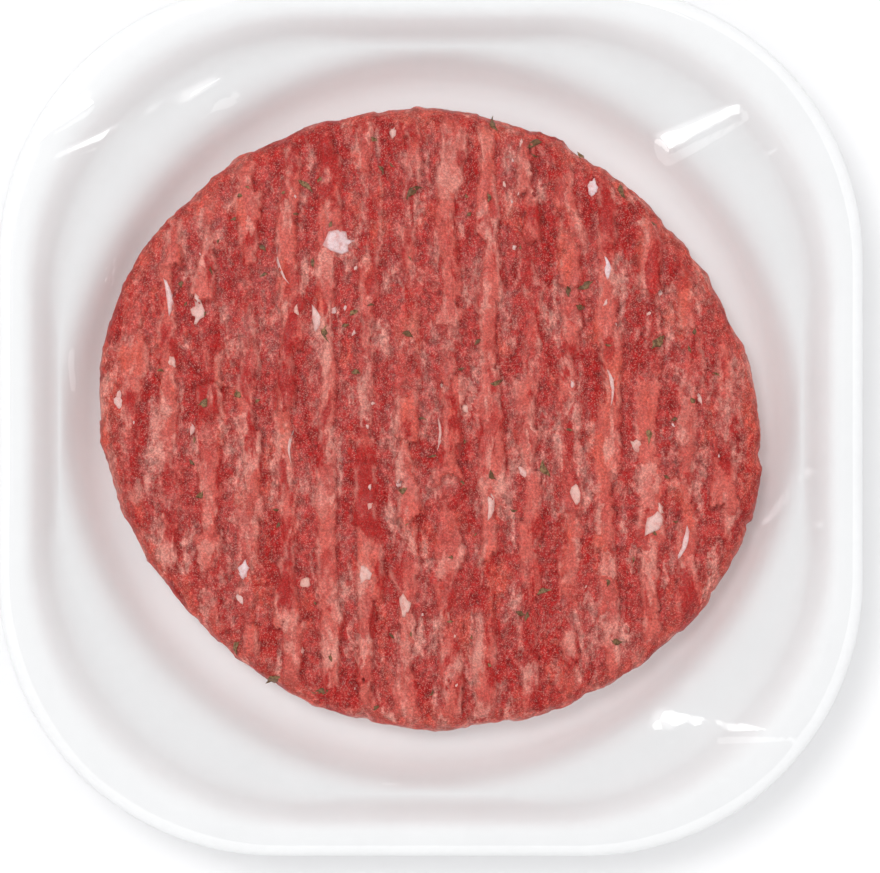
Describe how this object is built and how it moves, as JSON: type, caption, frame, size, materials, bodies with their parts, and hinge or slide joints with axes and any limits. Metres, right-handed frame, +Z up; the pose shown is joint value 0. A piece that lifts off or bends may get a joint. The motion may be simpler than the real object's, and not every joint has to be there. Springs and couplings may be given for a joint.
{
  "type": "meat tray pack",
  "caption": "Raw ribbed beef burger in a square white foam tray, overwrapped in clear stretch film, resting flat on its base.",
  "frame": {"origin": "centre of the bottom of the pack's bounding box, on the surface it rests on", "axes": "+Z up out of the open side of the tray, Y along the ribs of the burger, X across them"},
  "size_m": [0.1512, 0.1526, 0.0182],
  "materials": {
    "tray_foam": "expanded polystyrene foam, fine grained and satin",
    "raw_beef": null,
    "clear_film": "transparent glossy stretch wrap"
  },
  "bodies": {
    "root": {"tray": "tray_foam", "patty": "raw_beef", "film": "clear_film"}
  },
  "joints": []
}
